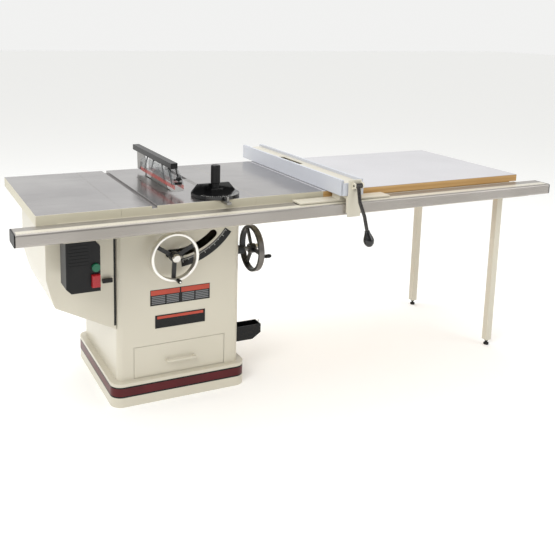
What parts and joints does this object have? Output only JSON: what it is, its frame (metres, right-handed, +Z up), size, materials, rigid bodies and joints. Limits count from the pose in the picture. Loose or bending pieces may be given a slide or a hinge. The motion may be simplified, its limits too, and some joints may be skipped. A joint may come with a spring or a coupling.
{
  "type": "table saw",
  "caption": "Floor-standing cabinet table saw with iron top, long front rail and T-square fence, extension table on legs, tilting blade, handwheels, guard and mitre gauge.",
  "frame": {"origin": "on the floor under the middle of the cabinet's base", "axes": "+X along the rails towards the extension table, +Y away from the operator, +Z up"},
  "size_m": [2.313, 0.9787, 0.953],
  "materials": {
    "cream_enamel": "gloss enamel, cream",
    "maroon_enamel": "gloss enamel, dark red",
    "black_enamel": "satin enamel, black",
    "ground_iron": "ground and waxed",
    "cast_casting": "as cast, grey primer",
    "bare_steel": "machined",
    "polished_steel": "polished",
    "blade_steel": "ground",
    "black_plastic": "moulded",
    "red_plastic": "moulded",
    "green_plastic": "moulded",
    "clear_plastic": "clear polycarbonate",
    "white_laminate": "satin laminate",
    "light_wood": "oiled edge band over board",
    "belt_rubber": "moulded",
    "motor_paint": "satin"
  },
  "bodies": {
    "frame": {"base_plinth": "cream_enamel", "plinth_stripe": "maroon_enamel", "cabinet_shell": "cream_enamel", "dust_chute": "cream_enamel", "dust_port": "black_enamel", "storage_bracket": "black_enamel", "main_table": "ground_iron", "table_wings": "ground_iron", "table_insert": "bare_steel", "table_bolts": "bare_steel", "rail_angles": "cream_enamel", "front_rail_tube": "polished_steel", "rail_end_caps": "black_plastic", "extension_core": "light_wood", "extension_laminate": "white_laminate", "extension_frame": "light_wood", "extension_legs": "cream_enamel", "leg_feet": "black_plastic", "front_plates": "black_enamel", "switch_box": "black_plastic", "switch_bracket": "black_enamel", "cover_hinges": "cream_enamel", "trunnion_brackets": "cast_casting", "tilt_bearings": "cast_casting"},
    "drawer": {"storage_drawer": "cream_enamel", "drawer_handle": "cream_enamel"},
    "cover": {"motor_cover": "cream_enamel"},
    "latch": {"cover_latch": "black_plastic"},
    "start": {"start_button": "green_plastic"},
    "stop": {"stop_button": "red_plastic"},
    "cradle": {"tilt_cradle": "cast_casting", "arm_pivot_shaft": "bare_steel", "splitter": "bare_steel"},
    "arm": {"arbor_arm": "cast_casting", "motor": "motor_paint", "drive_belts": "belt_rubber"},
    "arbor": {"arbor_shaft": "bare_steel", "arbor_nut": "bare_steel", "saw_blade": "blade_steel"},
    "motor_rotor": {"motor_pulley": "bare_steel"},
    "raise_wheel": {"raise_handwheel": "polished_steel", "raise_worm_shaft": "bare_steel"},
    "raise_grip": {"raise_crank": "black_plastic"},
    "raise_lock": {"raise_lock_knob": "polished_steel"},
    "tilt_wheel": {"tilt_handwheel": "black_enamel", "tilt_worm_shaft": "bare_steel"},
    "tilt_grip": {"tilt_crank": "black_plastic"},
    "tilt_lock": {"tilt_lock_knob": "polished_steel"},
    "guard": {"guard_top_bar": "black_enamel", "guard_shields": "clear_plastic", "guard_struts": "black_plastic"},
    "pawls": {"kickback_pawls": "bare_steel"},
    "fence": {"fence_beam": "cream_enamel", "fence_faces": "white_laminate", "fence_head": "cream_enamel"},
    "fence_lock": {"fence_lever": "polished_steel", "fence_lever_knob": "black_plastic"},
    "mitre": {"mitre_bar": "bare_steel"},
    "mitre_protractor": {"mitre_head": "black_enamel"},
    "mitre_grip": {"mitre_handle": "black_plastic"}
  },
  "joints": [
    {"name": "drawer_slide", "type": "slide", "parent": "frame", "child": "drawer", "axis": [0, -1, 0], "range_m": [0, 0.34]},
    {"name": "cover_swing", "type": "hinge", "parent": "frame", "child": "cover", "pos_m": [-0.2655, 0.251, 0.56], "axis": [0, 0, -1], "range_deg": [0, 100]},
    {"name": "latch_turn", "type": "hinge", "parent": "cover", "child": "latch", "pos_m": [-0.294, -0.25, 0.519], "axis": [0, -1, 0], "range_deg": [0, 90]},
    {"name": "start_press", "type": "slide", "parent": "frame", "child": "start", "axis": [0, 1, 0], "range_m": [0, 0.006], "stiffness_N_per_m": 400},
    {"name": "stop_press", "type": "slide", "parent": "frame", "child": "stop", "axis": [0, 1, 0], "range_m": [0, 0.006], "stiffness_N_per_m": 400},
    {"name": "blade_tilt", "type": "hinge", "parent": "frame", "child": "cradle", "pos_m": [-0.027, 0, 0.835], "axis": [0, -1, 0], "range_deg": [0, 45]},
    {"name": "blade_raise", "type": "hinge", "parent": "cradle", "child": "arm", "pos_m": [-0.06, 0.075, 0.75], "axis": [-1, 0, 0], "range_deg": [-24, 6]},
    {"name": "arbor_spin", "type": "hinge", "parent": "arm", "child": "arbor", "pos_m": [-0.027, -0.08, 0.768], "axis": [1, 0, 0], "continuous": true},
    {"name": "motor_spin", "type": "hinge", "parent": "arm", "child": "motor_rotor", "pos_m": [-0.11, 0.045, 0.58], "axis": [1, 0, 0], "continuous": true},
    {"name": "raise_wheel_turn", "type": "hinge", "parent": "cradle", "child": "raise_wheel", "pos_m": [-0.041, -0.306, 0.595], "axis": [0, 1, 0], "range_deg": [-576, 144]},
    {"name": "raise_crank_spin", "type": "hinge", "parent": "raise_wheel", "child": "raise_grip", "pos_m": [-0.03316, -0.33, 0.50534], "axis": [0, -1, 0], "continuous": true},
    {"name": "raise_lock_turn", "type": "hinge", "parent": "raise_wheel", "child": "raise_lock", "pos_m": [-0.041, -0.33, 0.595], "axis": [0, -1, 0], "range_deg": [0, 270]},
    {"name": "tilt_wheel_turn", "type": "hinge", "parent": "frame", "child": "tilt_wheel", "pos_m": [0.327, -0.225, 0.567], "axis": [-1, 0, 0], "range_deg": [0, 1080]},
    {"name": "tilt_crank_spin", "type": "hinge", "parent": "tilt_wheel", "child": "tilt_grip", "pos_m": [0.351, -0.31412, 0.55447], "axis": [1, 0, 0], "continuous": true},
    {"name": "tilt_lock_turn", "type": "hinge", "parent": "tilt_wheel", "child": "tilt_lock", "pos_m": [0.351, -0.225, 0.567], "axis": [1, 0, 0], "range_deg": [0, 270]},
    {"name": "guard_lift", "type": "hinge", "parent": "cradle", "child": "guard", "pos_m": [-0.027, 0.205, 0.938], "axis": [-1, 0, 0], "range_deg": [0, 60]},
    {"name": "pawl_swing", "type": "hinge", "parent": "cradle", "child": "pawls", "pos_m": [-0.027, 0.15, 0.88], "axis": [1, 0, 0], "range_deg": [0, 30], "stiffness_Nm_per_rad": 0.05},
    {"name": "fence_slide", "type": "slide", "parent": "frame", "child": "fence", "axis": [1, 0, 0], "range_m": [-0.334, 0.8]},
    {"name": "fence_lever_lift", "type": "hinge", "parent": "fence", "child": "fence_lock", "pos_m": [0.606, -0.571, 0.881], "axis": [-1, 0, 0], "range_deg": [0, 80]},
    {"name": "mitre_slide", "type": "slide", "parent": "frame", "child": "mitre", "axis": [0, 1, 0], "range_m": [0, 0.42]},
    {"name": "mitre_turn", "type": "hinge", "parent": "mitre", "child": "mitre_protractor", "pos_m": [0.108, -0.345, 0.845], "axis": [0, 0, 1], "range_deg": [-60, 60]},
    {"name": "mitre_grip_turn", "type": "hinge", "parent": "mitre_protractor", "child": "mitre_grip", "pos_m": [0.108, -0.345, 0.9], "axis": [0, 0, 1], "range_deg": [0, 180]}
  ],
  "couplings": [
    {"joint": "motor_spin", "follows": "arbor_spin", "ratio": 0.66667},
    {"joint": "raise_wheel_turn", "follows": "blade_raise", "ratio": 24},
    {"joint": "tilt_wheel_turn", "follows": "blade_tilt", "ratio": 24}
  ]
}
